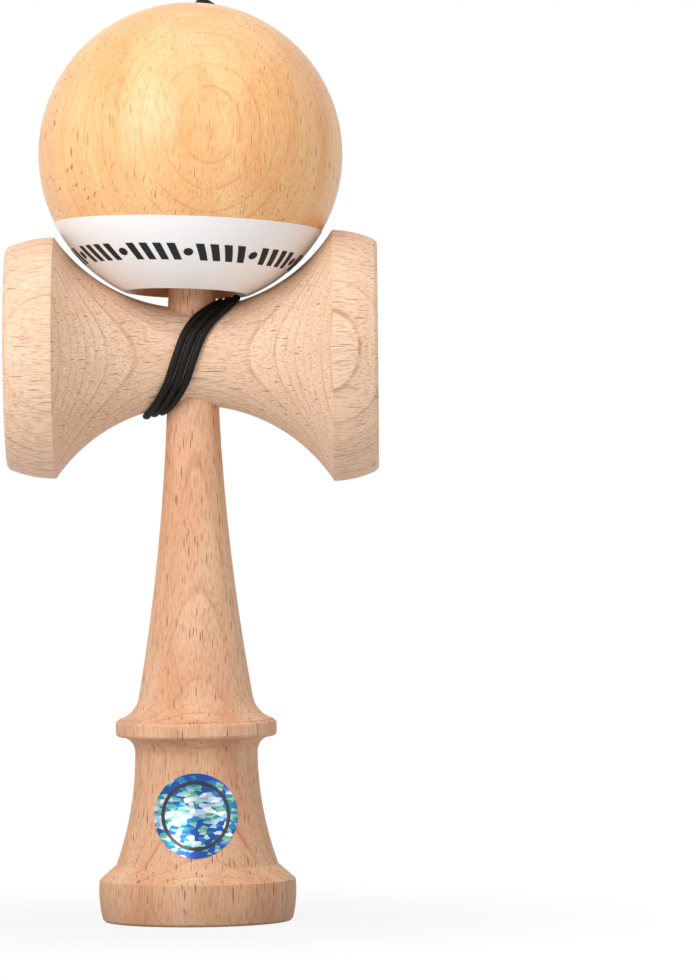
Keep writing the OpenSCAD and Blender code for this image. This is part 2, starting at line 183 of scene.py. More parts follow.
def wound(angle):
    """Middle of the wound string at an angle that is counted on from turn to turn."""
    turn = (angle - WIND_START) / 360
    x = smooth_table(LAY, angle) + smooth_table(SPREAD, angle) * turn
    r = SARADO_WAIST_R + SADDLE_R - math.sqrt(SADDLE_R**2 - x * x) + STRING_GAP + STRING_R
    a = math.radians(angle)
    return Vector((x, -r * math.sin(a), SARADO_Z + r * math.cos(a)))


wind_last = wound(WIND_END)
wind_way = (wind_last - wound(WIND_END - 1)).normalized()
joint = wind_last + wind_way * 2 * STRING_R
print("the winding ends at", [round(c, 1) for c in wind_last])

# %% [markdown]
# The string comes straight out of its hole, bends up and over with room for its thickness, and runs
# straight to where its lay on the waist starts.

# %% Route of the winding
# The bend outside the string hole: where it starts, its radius, its degrees and its move along X
EXIT_Y, EXIT_BEND_R, EXIT_TURN, EXIT_SHIFT = 9.7, 3.4, 154, 1.6
EXIT_STEP = 22
# Points along the hole, and parts into which the straight way to the waist is cut
IN_HOLE_Y = (3, 6, 8.2)
STRAIGHT_PARTS = 6


def leaving(turned):
    """Middle of the string outside its hole, after so many degrees of the bend there."""
    t = math.radians(turned)
    return Vector((EXIT_SHIFT * (turned / EXIT_TURN)**2, EXIT_Y + EXIT_BEND_R * math.sin(t),
                   SARADO_Z + EXIT_BEND_R * (1 - math.cos(t))))


wind_route = [Vector((0, y, SARADO_Z)) for y in (KEN_KNOT_Y + KNOT_HALF, *IN_HOLE_Y)]
wind_route += [leaving(t) for t in range(0, EXIT_TURN + 1, EXIT_STEP)]
wind_route += [leaving(EXIT_TURN).lerp(wound(WIND_FLAT), k / STRAIGHT_PARTS)
               for k in range(1, STRAIGHT_PARTS)]
wind_route += [wound(a) for a in range(WIND_FLAT, WIND_END + 1, WIND_STEP)] + [joint]
print("points of the winding:", len(wind_route))

# %% [markdown]
# From the winding the string stands free for a short way, lies on the back of the ball and bends into the
# string hole at the top. From the ball's lower edge on it lies in the plane in which the ball leans. No
# bend is much tighter than two diameters of the cord, because a limp cord doesn't kink.

# %% Route behind the ball
# Points on the way into that plane, then points in it as (distance from the handle's axis, height)
RUN_FIRST = [(7.95, 11.75, 115.3), (8.0, 12.6, 117.3), (7.9, 13.6, 119.4)]
RUN_FREE = [(16.7, 121.5), (18.5, 124.5), (20.8, 127.7), (24, 131.5)]
# How far the string keeps its way after the winding, and how far its middle is from the ball's paint
RUN_LEAD = 1.2
RUN_BALL_R = COAT_R + 0.9
# Degrees above the ball's middle, closer together towards the bend at the string hole
RUN_ON_BALL = [*range(-32, 67, 7), 70.5, 73.5]
# The bend into the string hole: its radius, its degrees, how far it dips, and its middle's height
STRING_BEND_R = 3.6
STRING_BEND = range(70, 181, 22)
BEND_DIP = 0.2
BEND_Z = RUN_BALL_R - STRING_BEND_R - BEND_DIP
STRING_END_Z = 26.9
IN_BALL_Z = (24, 21, 18)
BEAD_KNOT_Z = 13.61

tama_centre = Vector((0, 0, TAMA_Z))
lean_out = Vector((math.sin(LEAN_TURN), math.cos(LEAN_TURN), 0))
tama_axis = lean_out * math.sin(LEAN) + Vector((0, 0, math.cos(LEAN)))
tama_side = lean_out * math.cos(LEAN) - Vector((0, 0, math.sin(LEAN)))


def on_tama(aside, up):
    """A point beside the ball's own axis, in the plane in which the ball leans."""
    return tama_centre + tama_side * aside + tama_axis * up


run_route = [joint, joint + wind_way * RUN_LEAD] + [Vector(p) for p in RUN_FIRST]
run_route += [lean_out * u + Vector((0, 0, z)) for u, z in RUN_FREE]
run_route += [tama_centre + (lean_out * math.cos(e) + Vector((0, 0, math.sin(e)))) * RUN_BALL_R
              for e in map(math.radians, RUN_ON_BALL)]
run_route += [on_tama(STRING_BEND_R * (1 + math.cos(t)), BEND_Z + STRING_BEND_R * math.sin(t))
              for t in map(math.radians, STRING_BEND)]
run_route += [on_tama(0, STRING_END_Z)]
top_route = [on_tama(0, up) for up in (STRING_END_Z, *IN_BALL_Z, BEAD_KNOT_Z + KNOT_HALF)]
print("points:", len(wind_route), "wound,", len(run_route), "behind the ball,", len(top_route), "inside it")

# %% [markdown]
# A round braid is two sets of strands that spiral against each other and pass over and under by turns.
# A tube could carry it as a bump map, but the cord is seen from close by, so the
# strands are real relief here: each ring of the tube is pushed out where a strand lies on top.

# %% The braid as a height on the cord
CORD_D = 1.6
BRAID_STRANDS = 6
BRAID_LAY = 3.6
BRAID_RELIEF = 0.22
# Power of a strand's arch (lower is fuller), and how far the strand dips under the next one
STRAND_FULL = 0.7
STRAND_DIP = 0.45
CURVE_PARTS = 12


def braid_height(turn, along):
    """Height of the braid, from 0 to 1, at a share of a turn and a length along the cord."""
    left = BRAID_STRANDS * (turn + along / BRAID_LAY)
    right = BRAID_STRANDS * (turn - along / BRAID_LAY)
    left_on_top = (np.floor(left) + np.floor(right)) % 2 == 0
    across = np.where(left_on_top, left, right) % 1
    along_strand = np.where(left_on_top, right, left) % 1
    return np.sin(np.pi * across)**STRAND_FULL * (1 - STRAND_DIP + STRAND_DIP * np.sin(np.pi * along_strand))


def even_route(route, step):
    """The route as a smooth curve, cut into even steps, and the length up to each."""
    points = np.array([list(p) for p in route], float)
    ends = np.vstack([2 * points[0] - points[1], points, 2 * points[-1] - points[-2]])
    fine = []
    for i in range(len(points) - 1):
        p0, p1, p2, p3 = ends[i:i + 4]
        for t in np.linspace(0, 1, CURVE_PARTS, endpoint=False):
            fine.append(0.5 * (2 * p1 + (p2 - p0) * t + (2 * p0 - 5 * p1 + 4 * p2 - p3) * t**2
                               + (3 * p1 - p0 - 3 * p2 + p3) * t**3))
    fine = np.vstack([fine, points[-1]])
    along = np.concatenate([[0], np.cumsum(np.linalg.norm(np.diff(fine, axis=0), axis=1))])
    places = np.linspace(0, along[-1], max(2, round(along[-1] / step)) + 1)
    return np.column_stack([np.interp(places, along, fine[:, k]) for k in range(3)]), places


print("a strand is", round(math.pi * CORD_D / BRAID_STRANDS, 2), "mm wide")

# %% [markdown]
# The tube carries its rings along the route without twisting them. Pulled tight round the waist, a soft
# cord lies a little flat, so there the rings are squeezed towards the cross piece's axis.

# %% Rings of the cord
# The squeeze sets in at this distance from the cross piece's axis and is full so much further out
SQUEEZE_FROM, SQUEEZE_OVER = 2, 6
CORD_SIDES = 36
# A direction along which no string starts, from which its first ring is laid out
ASIDE = (0.3, 0.5, 0.81)


def cord_rings(centres, heights, squeeze):
    """The corners of the tube, one ring for each centre."""
    ways = np.gradient(centres, axis=0)
    ways /= np.linalg.norm(ways, axis=1)[:, None]
    across = np.zeros_like(centres)
    across[0] = np.cross(ways[0], ASIDE)
    for i in range(len(centres)):
        side = across[max(i - 1, 0)]
        side = side - ways[i] * (side @ ways[i])
        across[i] = side / np.linalg.norm(side)
    angle = 2 * np.pi * np.arange(CORD_SIDES) / CORD_SIDES
    ring = (np.cos(angle)[None, :, None] * across[:, None, :]
            + np.sin(angle)[None, :, None] * np.cross(ways, across)[:, None, :])
    offsets = ring * (CORD_D / 2 - BRAID_RELIEF * (1 - heights))[:, :, None]
    out = centres * [0, 1, 1] - [0, 0, SARADO_Z]
    out -= ways * np.sum(out * ways, axis=1)[:, None]
    away = np.linalg.norm(out, axis=1)
    out /= np.maximum(away, 1e-6)[:, None]
    flat = (1 - squeeze) * np.clip((away - SQUEEZE_FROM) / SQUEEZE_OVER, 0, 1)
    outward = np.sum(offsets * out[:, None, :], axis=2)
    offsets -= out[:, None, :] * (outward * flat[:, None])[:, :, None]
    return (centres[:, None, :] + offsets).reshape(-1, 3)


print("corners in a ring:", CORD_SIDES)

# %% [markdown]
# The mesh stores the braid's height, and a map of turns and millimetres along the cord, for the nylon to
# follow. The pieces of string share one count of millimetres.

# %% The braided cord
CORD_SQUEEZE = 0.84
CORD_STEP = 0.15


def link_piece(name, data):
    piece = bpy.data.objects.new(name, data)
    bpy.context.scene.collection.objects.link(piece)
    return piece


def braided_cord(name, route, start=0.0, squeeze=1.0):
    """A closed tube with the braid as relief, its height as an attribute, and a UV map of turns and
    millimetres along the cord."""
    centres, places = even_route(route, CORD_STEP)
    count, sides = len(centres), CORD_SIDES
    heights = braid_height(np.arange(sides)[None, :] / sides, places[:, None] + start)
    corners = cord_rings(centres, heights, squeeze) * MM
    faces = [(i * sides + k, i * sides + (k + 1) % sides,
              (i + 1) * sides + (k + 1) % sides, (i + 1) * sides + k)
             for i in range(count - 1) for k in range(sides)]
    faces += [tuple(reversed(range(sides))), tuple(range((count - 1) * sides, count * sides))]
    mesh = bpy.data.meshes.new(name)
    mesh.from_pydata(corners.tolist(), [], faces)
    mesh.polygons.foreach_set("use_smooth", [True] * len(mesh.polygons))
    mesh.attributes.new("braid_height", "FLOAT", "POINT").data.foreach_set("value", heights.ravel())
    uv = mesh.uv_layers.new(name="cord").data
    for polygon in mesh.polygons:
        at_seam = any(v % sides == sides - 1 for v in polygon.vertices)
        for corner, vertex in zip(polygon.loop_indices, polygon.vertices):
            i, k = divmod(vertex, sides)
            uv[corner].uv = ((sides if at_seam and k == 0 else k) / sides, places[i] + start)
    return link_piece(name, mesh), [tuple(c * MM) for c in centres], places[-1]


string_wound, wound_path, wound_length = braided_cord("string_wound", wind_route, squeeze=CORD_SQUEEZE)
string_free, free_path, free_length = braided_cord("string_free", run_route, wound_length)
string_top, _, top_length = braided_cord("string_top", top_route, wound_length + free_length)
print("cord lengths", round(wound_length), round(free_length), round(top_length), "mm")

# %% [markdown]
# Each end of the string is stopped by an overhand knot pulled tight. A knot is a closed curve that
# passes through itself, so a trefoil curve gives the lumps of a drawn-up knot with very few numbers.

# %% The two knots
KNOT_R = 0.66
KNOT_TUBE = 0.5
KNOT_HEIGHT = 1.6
KNOT_POINTS = 90
KNOT_SIDES = 14


def trefoil(t):
    return Vector((math.sin(t) + 2 * math.sin(2 * t), math.cos(t) - 2 * math.cos(2 * t),
                   -KNOT_HEIGHT * math.sin(3 * t)))


def knot_piece(name, centre, way):
    turn = way.to_track_quat("Z", "Y").to_matrix()
    centres = [centre + turn @ trefoil(2 * math.pi * i / KNOT_POINTS) * KNOT_R / 2
               for i in range(KNOT_POINTS)]
    made = bmesh.new()
    rings = []
    for i, here in enumerate(centres):
        ahead = (centres[(i + 1) % KNOT_POINTS] - centres[i - 1]).normalized()
        side = ahead.cross(here - centre).normalized()
        up = side.cross(ahead)
        rings.append([made.verts.new((here + (side * math.cos(a) + up * math.sin(a)) * KNOT_TUBE) * MM)
                      for a in [2 * math.pi * k / KNOT_SIDES for k in range(KNOT_SIDES)]])
    for i in range(KNOT_POINTS):
        one, two = rings[i - 1], rings[i]
        for k in range(KNOT_SIDES):
            made.faces.new((one[k - 1], one[k], two[k], two[k - 1])).smooth = True
    bmesh.ops.recalc_face_normals(made, faces=made.faces)
    mesh = bpy.data.meshes.new(name)
    made.to_mesh(mesh)
    made.free()
    return link_piece(name, mesh)


knot_in_handle = knot_piece("knot_in_handle", Vector((0, KEN_KNOT_Y, SARADO_Z)), Vector((0, 1, 0)))
knot_under_bead = knot_piece("knot_under_bead", on_tama(0, BEAD_KNOT_Z), tama_axis)
print("knots", len(knot_in_handle.data.vertices), "vertices each")

# %% [markdown]
# Beech is a pale, close-grained wood. Three things show in it: growth rings, which are layers round the
# heart of the tree and draw arches wherever a turned surface cuts them; rays, which show as short dark
# dashes along the grain; and fine fibres.
# A picture wrapped on the surface would stretch on a ball. A solid texture is cut by the surface as the
# lathe cuts the real wood, so the arches come by themselves. It only needs to know where the heart of
# the tree was and which way the grain runs in each piece.

# %% Where the wood lay in the tree
def in_the_tree(tree, grain, facing, centre, heart):
    """Millimetres from the heart of the tree, with the grain along Z. The heart lies a number of
    millimetres behind the centre of the piece, seen in the direction that the rings face."""
    along = Vector(grain).normalized()
    out = (Vector(facing) - along * Vector(facing).dot(along)).normalized()
    to_wood = Matrix((out.cross(along), out, along))
    shift = to_wood @ Vector(centre) - Vector((0, heart, 0))
    place = add_node(tree, "ShaderNodeTexCoord").outputs["Object"]
    return add_node(tree, MAPPING, {"Vector": place, "Scale": (1 / MM,) * 3, "Location": -shift,
                                    "Rotation": to_wood.to_euler("XYZ")})


# Unevenness of the wood as size in millimetres, stretch along the grain, detail and place.
# The fibres are drawn much coarser than real ones, so that they show.
WOOD_NOISE = {"wander": (18, 0.3, 2.0, 0), "ripple": (2.2, 0.25, 2.0, 7), "drift": (9, 0.4, 1.0, 3),
              "fibre": (0.28, 0.11, 2.0, 11), "tone": (7, 0.16, 2.0, 19), "gaps": (4, 0.45, 1.0, 29)}


def uneven_wood(tree, wood, seed):
    patterns = {}
    for name, (size, stretch, detail, offset) in WOOD_NOISE.items():
        stretched = add_node(tree, MAPPING, {"Vector": wood, "Scale": (1, 1, stretch),
                                             "Location": (seed + offset,) * 3})
        patterns[name] = add_node(tree, NOISE, {"Vector": stretched, "Scale": 1 / size, "Detail": detail})
    return patterns


print("kinds of unevenness:", list(WOOD_NOISE))

# %% [markdown]
# A ring starts pale in spring, darkens towards autumn and ends in a thin dark line. No ring is quite
# round or as wide as the next, and its line is strong in one place and almost gone in another.

# %% Growth rings
# How far rings ripple in millimetres, and by how many years their widths vary
RIPPLE_MM = 0.16
GROWTH_SCALE, GROWTH_YEARS = 0.17, 1.6
# Shares of a year at which the late wood starts and the line starts, is full and starts to end
LATE_FROM, LINE_FROM, LINE_FULL, LINE_END = 0.35, 0.84, 0.94, 0.96
# The faintest line, and the noise between which a line goes from almost gone to whole
LINE_FAINT = 0.3
GAP_FROM, GAP_TO, GAP_FAINT = 0.4, 0.6, 0.2


def growth_rings(tree, radius, uneven, ring, wander):
    """How late in its year the wood grew, and the line that ends each year, both from 0 to 1."""
    bent = add_node(tree, MATH, [uneven["wander"], wander, radius], operation="MULTIPLY_ADD")
    bent = add_node(tree, MATH, [uneven["ripple"], RIPPLE_MM, bent], operation="MULTIPLY_ADD")
    growth = add_node(tree, NOISE, {"W": bent, "Scale": GROWTH_SCALE, "Detail": 1.0}, noise_dimensions="1D")
    years = add_node(tree, MATH, [bent, ring], operation="DIVIDE")
    years = add_node(tree, MATH, [growth, GROWTH_YEARS, years], operation="MULTIPLY_ADD")
    season = add_node(tree, MATH, [years], operation="FRACT")
    year = add_node(tree, MATH, [years], operation="FLOOR")
    own = add_node(tree, "ShaderNodeTexWhiteNoise", {"W": year}, noise_dimensions="1D")
    late = add_node(tree, MAP_RANGE, {"Value": season, "From Min": LATE_FROM, "From Max": 1.0},
                    interpolation_type="SMOOTHSTEP")
    line = add_node(tree, MAP_RANGE, {"Value": season, "From Min": LINE_FROM, "From Max": LINE_FULL},
                    interpolation_type="SMOOTHSTEP")
    edge = add_node(tree, MAP_RANGE, {"Value": season, "From Min": LINE_END, "From Max": 1.0,
                                      "To Min": 1.0, "To Max": 0.0})
    strength = add_node(tree, MATH, [own, 1 - LINE_FAINT, LINE_FAINT], operation="MULTIPLY_ADD")
    broken = add_node(tree, MAP_RANGE, {"Value": uneven["gaps"], "From Min": GAP_FROM, "From Max": GAP_TO,
                                        "To Min": GAP_FAINT, "To Max": 1.0})
    for share in (edge, strength, broken):
        line = add_node(tree, MATH, [line, share], operation="MULTIPLY")
    return late, line


print("a line takes up the last", round(1 - LINE_FROM, 2), "of a ring")

# %% [markdown]
# The rays stand between heart and bark. Cells that are thin round the heart and long along the grain
# give their dashes: each cell holds one, with its own width and its own darkness.

# %% Rays
# In millimetres: a cell's depth, how far in front of the piece's middle it has its stated width, and how
# far it drifts along the grain
RAY_DEPTH = 2.0
RAY_FRONT = 20
RAY_DRIFT = 4.0
# A dash's least width and what chance adds, as shares of a cell, then its dark core and its least darkness
RAY_WIDTH, RAY_WIDER = 0.14, 0.15
RAY_CORE = 0.72
RAY_FAINT = 0.25


def rays(tree, wood, radius, uneven, heart, ray):
    """The dashes from 0 to 1. ray is the width and the length of a cell in millimetres."""
    x, y, z = add_node(tree, SEPARATE, [wood]).outputs
    turn = add_node(tree, MATH, [x, y], operation="ARCTAN2")
    around = add_node(tree, MATH, [turn, (heart + RAY_FRONT) / ray[0]], operation="MULTIPLY")
    depth = add_node(tree, MATH, [radius, RAY_DEPTH], operation="DIVIDE")
    along = add_node(tree, MATH, [uneven["drift"], RAY_DRIFT, z], operation="MULTIPLY_ADD")
    along = add_node(tree, MATH, [along, ray[1]], operation="DIVIDE")
    place = add_node(tree, COMBINE, [around, depth, along])
    cells = add_node(tree, "ShaderNodeTexVoronoi", {"Vector": place, "Scale": 1.0})
    chance = add_node(tree, "ShaderNodeSeparateColor", [cells.outputs["Color"]]).outputs
    width = add_node(tree, MATH, [chance[0], RAY_WIDER, RAY_WIDTH], operation="MULTIPLY_ADD")
    core = add_node(tree, MATH, [width, RAY_CORE], operation="MULTIPLY")
    dash = add_node(tree, MAP_RANGE, {"Value": cells.outputs["Distance"], "From Min": core, "From Max": width,
                                      "To Min": 1.0, "To Max": 0.0})
    weight = add_node(tree, MATH, [chance[1], 1 - RAY_FAINT, RAY_FAINT], operation="MULTIPLY_ADD")
    return add_node(tree, MATH, [dash, weight], operation="MULTIPLY")


print("a dash fills up to", round(RAY_WIDTH + RAY_WIDER, 2), "of its cell to each side")

# %% [markdown]
# The colour is laid on in thin layers, as a stain would be: the pale wood first, then the late wood,
# patches of a warmer tone, the lines, the fibres and the dashes. The fibres also make the surface a
# little rougher and stand up, and the dashes lie deeper.

# %% Beech as a solid texture
# Noise between which patches turn warm and fibres turn dark
WARM_NOISE = (0.35, 0.7)
FIBRE_NOISE = (0.45, 0.75)
# The fibres' share in the roughness and in the relief, and the relief's depth in millimetres
ROUGH_SPREAD = 0.12
FIBRE_RELIEF = 0.35
WOOD_RELIEF = 0.06
WOOD_IOR = 1.5
LACQUER_ROUGHNESS = 0.32


def beech(name, look, grain, facing, centre, heart, ring, ray, seed):
    """look holds the first colour, (colour, share) of each layer over it, and the finish."""
    material, tree = new_material(name)
    wood = in_the_tree(tree, grain, facing, centre, heart)
    uneven = uneven_wood(tree, wood, seed)
    flat = add_node(tree, VECTOR_MATH, [wood, (1, 1, 0)], operation="MULTIPLY")
    radius = add_node(tree, VECTOR_MATH, [flat], operation="LENGTH")
    late, line = growth_rings(tree, radius, uneven, ring, look["wander"])
    dash = rays(tree, wood, radius, uneven, heart, ray)
    warm = add_node(tree, MAP_RANGE, {"Value": uneven["tone"], "From Min": WARM_NOISE[0],
                                      "From Max": WARM_NOISE[1]})
    fibre = add_node(tree, MAP_RANGE, {"Value": uneven["fibre"], "From Min": FIBRE_NOISE[0],
                                       "From Max": FIBRE_NOISE[1]})
    colour = linear(look["early"])
    for layer, share in {"late": late, "warm": warm, "line": line, "fibre": fibre, "ray": dash}.items():
        tint, most = look[layer]
        amount = add_node(tree, MATH, [share, most], operation="MULTIPLY")
        colour = add_node(tree, "ShaderNodeMix", {0: amount, 6: colour, 7: linear(tint)}, data_type="RGBA")
    smoothest = look["roughness"] - ROUGH_SPREAD / 2
    rough = add_node(tree, MATH, [uneven["fibre"], ROUGH_SPREAD, smoothest], operation="MULTIPLY_ADD")
    raised = add_node(tree, MATH, [uneven["fibre"], FIBRE_RELIEF], operation="MULTIPLY")
    height = add_node(tree, MATH, [raised, dash], operation="SUBTRACT")
    bump = add_node(tree, "ShaderNodeBump", {"Height": height, "Strength": look["bump"],
                                             "Distance": WOOD_RELIEF * MM})
    shader = add_node(tree, PRINCIPLED, {"Base Color": colour, "Roughness": rough, "IOR": WOOD_IOR,
                                         "Normal": bump, "Coat Weight": look["coat"],
                                         "Coat Roughness": LACQUER_ROUGHNESS, "Coat IOR": WOOD_IOR})
    add_node(tree, MATERIAL_OUTPUT, {"Surface": shader})
    return material


print("relief of the wood", WOOD_RELIEF, "mm")

# %% [markdown]
# Sanded beech is dull. The ball's lacquer is a clear coat over a warmer, oiled tone. Each piece came from
# another place in the tree, so it has its own grain, heart, rings and rays.

# %% Four pieces of beech
PALE = {"early": "#F1CFB2", "late": ("#DFB694", 0.4), "warm": ("#E6BC9A", 0.5), "line": ("#B07F5C", 0.8),
        "fibre": ("#A8764F", 0.58), "ray": ("#7A4B30", 0.92), "wander": 0.9, "roughness": 0.62, "bump": 0.35,
        "coat": 0.0}
DARKER = dict(PALE, early="#EABD99", late=("#D7A27C", 0.2), warm=("#D08C60", 0.6), line=("#A96F4A", 0.65),
              fibre=("#A0663F", 0.5), ray=("#683820", 1.0))
LACQUERED = dict(PALE, early="#F7C588", late=("#E9A868", 0.1), warm=("#E69850", 0.55), line=("#BC6424", 0.6),
                 fibre=("#C06C2A", 0.45), ray=("#96501F", 0.9), roughness=0.45, bump=0.1, coat=0.4)

ken_wood = beech("sanded_beech_handle", DARKER, grain=(0, 0, 1), facing=(0.1, -1, 0), centre=(0, 0, 0),
                 heart=44.55, ring=2.3, ray=(0.55, 5.6), seed=1.0)
sarado_wood = beech("sanded_beech_cross_piece", PALE, grain=(1, 0, 0), facing=(0, -1, 0.03),
                    centre=(0, 0, SARADO_Z), heart=70.6, ring=1.75, ray=(0.36, 13.0), seed=5.0)
tama_wood = beech("lacquered_beech_ball", LACQUERED, grain=(-0.03, 0.175, 0.97),
                  facing=(-0.157, 0.971, -0.18), centre=(0, 0, TAMA_Z), heart=77.6, ring=2.2,
                  ray=(0.56, 6.5), seed=10.3)
bead_wood = beech("satin_beech_bead", dict(PALE, roughness=0.4), grain=(0, 0, 1), facing=(0, -1, 0),
                  centre=(0, 0, 168), heart=30, ring=2.0, ray=(0.7, 5.0), seed=13.0)
print("woods:", [wood.name for wood in (ken_wood, sarado_wood, tama_wood, bead_wood)])

# %% [markdown]
# The paint band is a thick white gloss enamel. Sprayed enamel is never quite flat, so a very weak and
# wide bump gives its reflections a little life.

# %% Enamel
ORANGE_PEEL_MM, CLOUD_MM = 1.4, 12
ENAMEL_ROUGHNESS = (0.26, 0.32)


def enamel():
    material, tree = new_material("white_gloss_enamel")
    place = add_node(tree, "ShaderNodeTexCoord").outputs["Object"]
    orange_peel = add_node(tree, NOISE, {"Vector": place, "Scale": 1 / (ORANGE_PEEL_MM * MM), "Detail": 2.0})
    cloud = add_node(tree, NOISE, {"Vector": place, "Scale": 1 / (CLOUD_MM * MM), "Detail": 3.0})
    rough = add_node(tree, MAP_RANGE, {"Value": cloud, "To Min": ENAMEL_ROUGHNESS[0],
                                       "To Max": ENAMEL_ROUGHNESS[1]})
    tint = add_node(tree, "ShaderNodeValToRGB", [cloud])
    tint.color_ramp.elements[0].color = linear("#F4F2F1")
    tint.color_ramp.elements[1].color = linear("#F8F6F5")
    bump = add_node(tree, "ShaderNodeBump", {"Height": orange_peel, "Strength": 0.05, "Distance": 0.05 * MM})
    shader = add_node(tree, PRINCIPLED, {"Base Color": tint, "Roughness": rough, "IOR": 1.5, "Normal": bump})
    add_node(tree, MATERIAL_OUTPUT, {"Surface": shader})
    return material


enamel_white = enamel()
print("made", enamel_white.name)

# %% [markdown]
# The cord is braided from black nylon yarn. Its colour is painted almost black in the valleys of the braid
# as painted shade, and paler on the filaments of the strands that lie on top as a painted sheen. The braid's
# height is stored on the mesh, so the colour can follow it, and the yarn is a fine noise along the cord.

# %% Nylon
# Yarns in a turn round the cord, and specks in a millimetre along it
YARNS, SPECKS = 40, 9
# Height of the braid, times the yarn's noise, at which the painted shade is darkest and the painted sheen
# palest
PAINTED_SHADE_AT, PAINTED_SHEEN_AT = 0.28, 0.6


def braided_nylon():
    material, tree = new_material("braided_black_nylon")
    uv = add_node(tree, "ShaderNodeUVMap", uv_map="cord")
    stretched = add_node(tree, MAPPING, {"Vector": uv, "Scale": (YARNS, SPECKS, 1)})
    yarn = add_node(tree, NOISE, {"Vector": stretched, "Scale": 1.0, "Detail": 2.0})
    braid = add_node(tree, "ShaderNodeAttribute", attribute_name="braid_height").outputs["Fac"]
    shade_and_sheen = add_node(tree, MATH, [yarn, braid], operation="MULTIPLY")
    # The ramp paints shade into the braid's valleys and a sheen onto the strands on top, over the yarn's own
    # noise.
    tint = add_node(tree, "ShaderNodeValToRGB", [shade_and_sheen])
    tint.color_ramp.elements[0].position = PAINTED_SHADE_AT
    tint.color_ramp.elements[0].color = linear("#030303")
    tint.color_ramp.elements[1].position = PAINTED_SHEEN_AT
    tint.color_ramp.elements[1].color = linear("#2E2422")
    bump = add_node(tree, "ShaderNodeBump", {"Height": yarn, "Strength": 0.3, "Distance": 0.05 * MM})
    shader = add_node(tree, PRINCIPLED, {"Base Color": tint, "Roughness": 0.5, "IOR": 1.53, "Normal": bump,
                                         "Sheen Weight": 0.03, "Sheen Roughness": 0.4,
                                         "Specular IOR Level": 0.2})
    add_node(tree, MATERIAL_OUTPUT, {"Surface": shader})
    return material


nylon = braided_nylon()
print("made", nylon.name)

# %% [markdown]
# The sticker is embossed foil: small flat facets that each throw back another colour, with a dark ring
# printed on it. Cells of about a millimetre stand for the facets, and the colours turn to deep blue
# towards the upper and the lower edge.

# %% Foil
FOIL_STOPS = [(0.0, "#C9CFE6"), (0.22, "#8FB7C9"), (0.36, "#E4E3EC"), (0.52, "#3E9C79"), (0.66, "#A9C4CC"),
              (0.76, "#2B6FB0"), (0.95, "#1F8F86"), (1.0, "#1E4C9E")]
# Inner and outer radius of the dark ring in millimetres
FOIL_RING = (6.1, 6.8)
# The facets' turn and their number in a millimetre each way
FACET_TURN = math.radians(35)
FACETS = (0.7, 0.7, 1.3)
BLUER_PER_MM = 0.075
FOIL_METAL = 0.75


def rainbow_foil(centre):
    material, tree = new_material("embossed_rainbow_foil")
    place = add_node(tree, "ShaderNodeTexCoord").outputs["Object"]
    local = add_node(tree, MAPPING, {"Vector": place, "Scale": (1 / MM,) * 3,
                                     "Location": [-c for c in centre]})
    slanted = add_node(tree, MAPPING, {"Vector": local, "Rotation": (0, FACET_TURN, 0),
                                       "Scale": FACETS})
    facets = add_node(tree, "ShaderNodeTexVoronoi", {"Vector": slanted, "Scale": 1.0})
    chance = add_node(tree, "ShaderNodeSeparateColor", [facets.outputs["Color"]]).outputs
    x, _, z = add_node(tree, SEPARATE, [local]).outputs
    height = add_node(tree, MATH, [z], operation="ABSOLUTE")
    shade = add_node(tree, MATH, [height, BLUER_PER_MM, chance[0]], operation="MULTIPLY_ADD")
    foil_colour = add_node(tree, "ShaderNodeValToRGB", [shade])
    stops = foil_colour.color_ramp.elements
    stops[0].color = linear(FOIL_STOPS[0][1])
    stops[1].color = linear(FOIL_STOPS[-1][1])
    for position, colour in FOIL_STOPS[1:-1]:
        stops.new(position).color = linear(colour)
    flat = add_node(tree, COMBINE, {"X": x, "Z": z})
    away = add_node(tree, VECTOR_MATH, [flat], operation="LENGTH")
    ring_in = add_node(tree, MATH, [away, FOIL_RING[0]], operation="GREATER_THAN")
    ring_out = add_node(tree, MATH, [away, FOIL_RING[1]], operation="LESS_THAN")
    printed = add_node(tree, MATH, [ring_in, ring_out], operation="MULTIPLY")
    colour = add_node(tree, "ShaderNodeMix", {0: printed, 6: foil_colour, 7: linear("#17151A")},
                      data_type="RGBA")
    metal = add_node(tree, MATH, [printed, -FOIL_METAL, FOIL_METAL], operation="MULTIPLY_ADD")
    shader = add_node(tree, PRINCIPLED, {"Base Color": colour, "Metallic": metal, "Roughness": 0.28,
                                         "Coat Weight": 0.2, "Coat Roughness": 0.1})
    add_node(tree, MATERIAL_OUTPUT, {"Surface": shader})
    return material


low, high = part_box("base_sticker")
foil = rainbow_foil([(a + b) / 2 / MM for a, b in zip(low, high)])
print("made", foil.name)

# %% [markdown]
# The solids keep their meshes and only get new material slots.

# %% Dress the solids
def dress(piece, material):
    piece.data.materials.clear()
    piece.data.materials.append(material)
    for polygon in piece.data.polygons:
        polygon.material_index = 0


for name, material in {"ken": ken_wood, "sarado": sarado_wood, "tama": tama_wood, "bead": bead_wood,
                       "tama_paint_band": enamel_white, "base_sticker": foil}.items():
    dress(nodes[name], material)
for piece in (string_wound, string_free, string_top, knot_in_handle, knot_under_bead):
    dress(piece, nylon)
print("dressed", len(nodes), "solids")

# %% [markdown]
# A row of printed marks runs round the paint band: slanted bars with a dot after every fourth one.
# Screen print is a thin, even film of ink, a little duller than the paint under it.

# %% Printing ink
INK_GRAIN_MM = 0.6
INK_ROUGHNESS = (0.3, 0.5)


